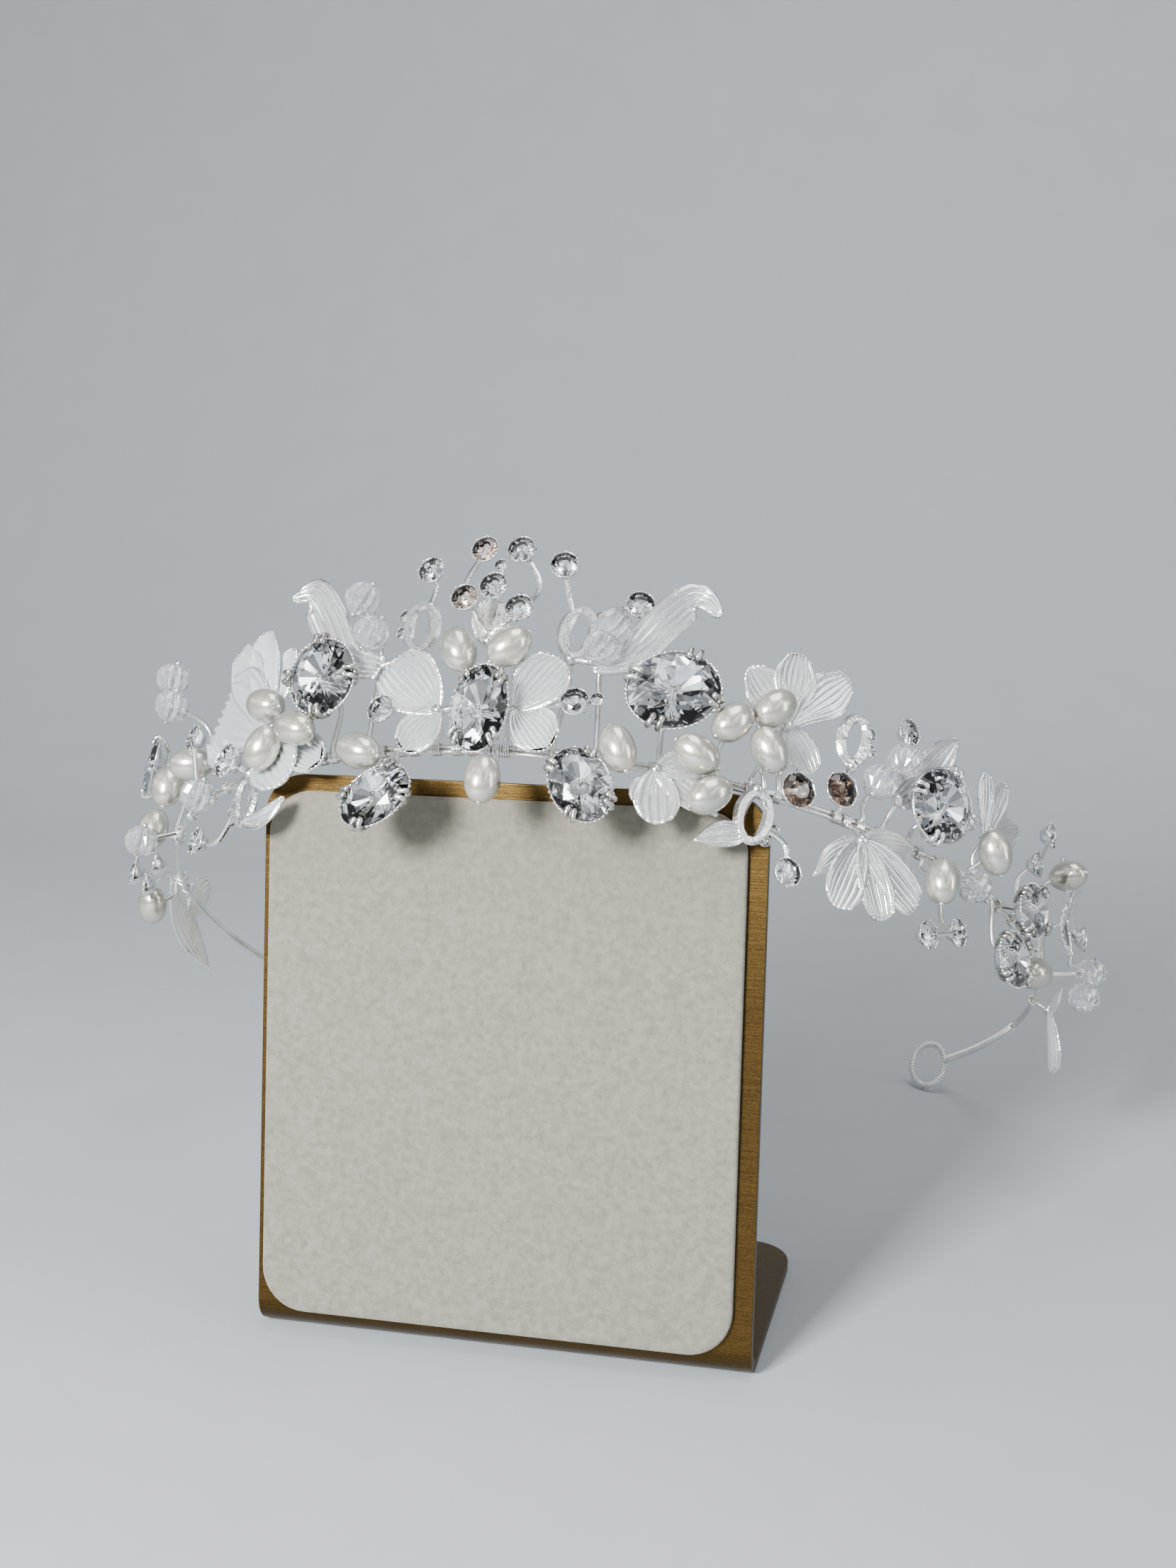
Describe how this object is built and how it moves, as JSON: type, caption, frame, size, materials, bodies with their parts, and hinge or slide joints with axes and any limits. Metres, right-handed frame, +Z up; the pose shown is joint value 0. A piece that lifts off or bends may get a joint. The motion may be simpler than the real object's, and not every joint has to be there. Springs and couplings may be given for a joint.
{
  "type": "tiara on a display stand",
  "caption": "Bridal tiara of wired oval stones, rice pearls, glass beads and cast petal and scroll ornaments on one bendable head wire, resting on an L-shaped display stand with a pad",
  "frame": {"origin": "middle of the stand's foot on its underside, on the ground the stand rests on", "axes": "+X across the tiara to the wearer's left, +Y from the front to the back, +Z up; -Y is the ornamented front"},
  "size_m": [0.1683, 0.1377, 0.1179],
  "materials": {
    "gold": "brushed",
    "velour": "matte",
    "silver": "polished",
    "lacquer": "satin",
    "crystal": "polished",
    "pearl": "polished",
    "glass_bead": "polished"
  },
  "bodies": {
    "root": {"display_stand": "gold", "display_pad": "velour", "headband": "silver", "oval_centre": "crystal", "oval_right_upper": "crystal", "oval_left_upper": "crystal", "oval_left_low": "crystal", "oval_right_low": "crystal", "oval_right": "crystal", "oval_left_far": "crystal", "oval_right_far": "crystal", "oval_right_end": "crystal", "pearl_centre_left": "pearl", "pearl_centre_right": "pearl", "pearl_drop": "pearl", "pearl_right_1": "pearl", "pearl_right_2": "pearl", "pearl_right_3": "pearl", "pearl_right_4": "pearl", "pearl_right_5": "pearl", "pearl_right_6": "pearl", "pearl_right_7": "pearl", "pearl_right_8": "pearl", "pearl_right_9": "pearl", "pearl_right_10": "pearl", "pearl_left_1": "pearl", "pearl_left_2": "pearl", "pearl_left_3": "pearl", "pearl_left_4": "pearl", "pearl_left_5": "pearl", "pearl_left_6": "pearl", "pearl_left_7": "pearl", "pearl_left_8": "pearl", "beads_upper_left": "glass_bead", "beads_upper_right": "glass_bead", "beads_right": "glass_bead", "bead_right_side": "glass_bead", "beads_far_right": "glass_bead", "beads_left_top": "glass_bead", "bead_left": "glass_bead", "bead_left_side": "glass_bead", "cups_right_low": "crystal", "cups_far_right": "crystal", "orchid": "lacquer", "crest": "silver", "scroll_upper_left": "silver", "scroll_upper_right": "silver", "scroll_left": "silver", "scroll_right_low": "silver", "scroll_right_high": "silver", "flower_left": "lacquer", "flower_right": "lacquer", "flower_right_upper": "lacquer", "leaf_right": "lacquer", "leaf_ribbon_right": "lacquer", "petals_right": "lacquer", "flower_far_right": "lacquer", "leaf_end_right": "lacquer", "leaf_end_left": "lacquer"}
  },
  "joints": []
}
